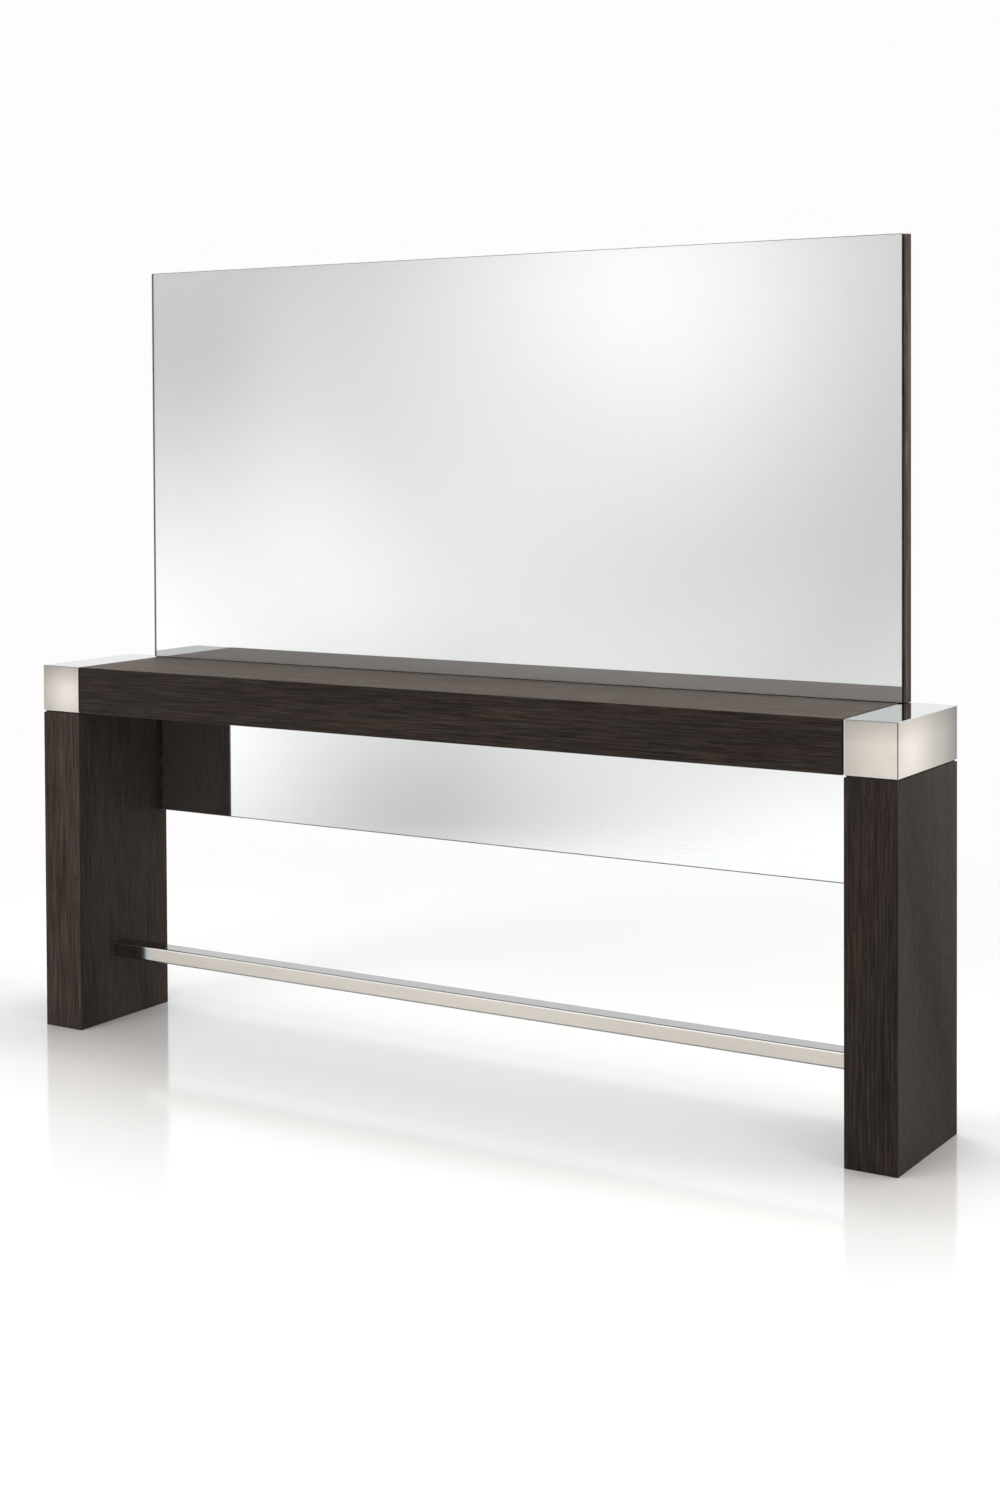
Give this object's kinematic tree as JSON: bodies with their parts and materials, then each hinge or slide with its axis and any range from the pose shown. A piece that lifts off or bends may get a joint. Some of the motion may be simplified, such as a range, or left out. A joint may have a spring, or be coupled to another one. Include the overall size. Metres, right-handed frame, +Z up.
{
  "type": "styling station",
  "caption": "Floor-standing salon styling station: two box legs with steel corner caps, a shelf beam, a large mirror through its back and a steel tube as a footrest.",
  "frame": {"origin": "on the floor, under the middle of the station's length and depth", "axes": "+X along the length to the station's right as seen from the front, -Y towards the client, +Z up"},
  "size_m": [2.2, 0.32, 1.838],
  "materials": {
    "wenge_upright": "satin veneer, grain upright",
    "wenge_along": "satin veneer, grain along the beam",
    "wenge_panel": "satin veneer, grain upright",
    "plywood": "raw",
    "stainless": "satin, polished edges",
    "frame_steel": "mill",
    "black_steel": "matt black",
    "zinc_steel": "zinc plated",
    "black_screw": "black oxide",
    "brass": "plain",
    "mirror_glass": "silvered float glass, polished edges",
    "tape": "foam",
    "black_rubber": "matt",
    "black_nylon": "moulded",
    "black_spacer": "matt"
  },
  "bodies": {
    "station": {"left_leg_outer_board": "wenge_upright", "left_leg_inner_board": "wenge_upright", "left_leg_front_board": "wenge_upright", "left_leg_back_board": "wenge_upright", "left_leg_head_block": "plywood", "left_leg_foot_block": "plywood", "left_leg_bar_block": "plywood", "left_cap_core": "plywood", "left_cap_spacer": "black_spacer", "left_beam_spacer": "black_spacer", "left_cap_shell": "stainless", "left_beam_end_plate": "frame_steel", "left_footrest_plug": "frame_steel", "left_edge_seal": "black_rubber", "right_leg_outer_board": "wenge_upright", "right_leg_inner_board": "wenge_upright", "right_leg_front_board": "wenge_upright", "right_leg_back_board": "wenge_upright", "right_leg_head_block": "plywood", "right_leg_foot_block": "plywood", "right_leg_bar_block": "plywood", "right_cap_core": "plywood", "right_cap_spacer": "black_spacer", "right_beam_spacer": "black_spacer", "right_cap_shell": "stainless", "right_beam_end_plate": "frame_steel", "right_footrest_plug": "frame_steel", "right_edge_seal": "black_rubber", "foot_inserts": "brass", "shelf_board": "wenge_along", "beam_front_board": "wenge_along", "beam_rear_board": "wenge_along", "beam_bottom_board": "wenge_along", "beam_front_stretcher": "frame_steel", "beam_rear_stretcher": "frame_steel", "beam_ribs": "plywood", "upper_mirror": "mirror_glass", "lower_mirror": "mirror_glass", "mirror_uprights": "black_steel", "mirror_top_rail": "black_steel", "mirror_bottom_rail": "black_steel", "bond_tape": "tape", "setting_pads": "black_rubber", "back_panel": "wenge_panel", "footrest_bar": "stainless", "cap_bolts": "zinc_steel", "beam_end_bolts": "zinc_steel", "upright_bolts": "zinc_steel", "footrest_bolts": "zinc_steel", "panel_screws": "black_screw"},
    "left_front_foot_pad": {"left_front_foot_pad": "black_nylon"},
    "left_front_foot_stud": {"left_front_foot_stud": "zinc_steel"},
    "left_rear_foot_pad": {"left_rear_foot_pad": "black_nylon"},
    "left_rear_foot_stud": {"left_rear_foot_stud": "zinc_steel"},
    "right_front_foot_pad": {"right_front_foot_pad": "black_nylon"},
    "right_front_foot_stud": {"right_front_foot_stud": "zinc_steel"},
    "right_rear_foot_pad": {"right_rear_foot_pad": "black_nylon"},
    "right_rear_foot_stud": {"right_rear_foot_stud": "zinc_steel"}
  },
  "joints": [
    {"name": "left_front_foot_height", "type": "slide", "parent": "station", "child": "left_front_foot_pad", "axis": [0, 0, -1], "range_m": [0, 0.012]},
    {"name": "left_front_foot_turn", "type": "hinge", "parent": "left_front_foot_pad", "child": "left_front_foot_stud", "pos_m": [-1.044, -0.115, 0.02], "axis": [0, 0, -1], "range_deg": [0, 2880]},
    {"name": "left_rear_foot_height", "type": "slide", "parent": "station", "child": "left_rear_foot_pad", "axis": [0, 0, -1], "range_m": [0, 0.012]},
    {"name": "left_rear_foot_turn", "type": "hinge", "parent": "left_rear_foot_pad", "child": "left_rear_foot_stud", "pos_m": [-1.044, 0.115, 0.02], "axis": [0, 0, -1], "range_deg": [0, 2880]},
    {"name": "right_front_foot_height", "type": "slide", "parent": "station", "child": "right_front_foot_pad", "axis": [0, 0, -1], "range_m": [0, 0.012]},
    {"name": "right_front_foot_turn", "type": "hinge", "parent": "right_front_foot_pad", "child": "right_front_foot_stud", "pos_m": [1.044, -0.115, 0.02], "axis": [0, 0, -1], "range_deg": [0, 2880]},
    {"name": "right_rear_foot_height", "type": "slide", "parent": "station", "child": "right_rear_foot_pad", "axis": [0, 0, -1], "range_m": [0, 0.012]},
    {"name": "right_rear_foot_turn", "type": "hinge", "parent": "right_rear_foot_pad", "child": "right_rear_foot_stud", "pos_m": [1.044, 0.115, 0.02], "axis": [0, 0, -1], "range_deg": [0, 2880]}
  ],
  "couplings": [
    {"joint": "left_front_foot_turn", "follows": "left_front_foot_height", "rad_per_m": 4188.8},
    {"joint": "left_rear_foot_turn", "follows": "left_rear_foot_height", "rad_per_m": 4188.8},
    {"joint": "right_front_foot_turn", "follows": "right_front_foot_height", "rad_per_m": 4188.8},
    {"joint": "right_rear_foot_turn", "follows": "right_rear_foot_height", "rad_per_m": 4188.8}
  ]
}
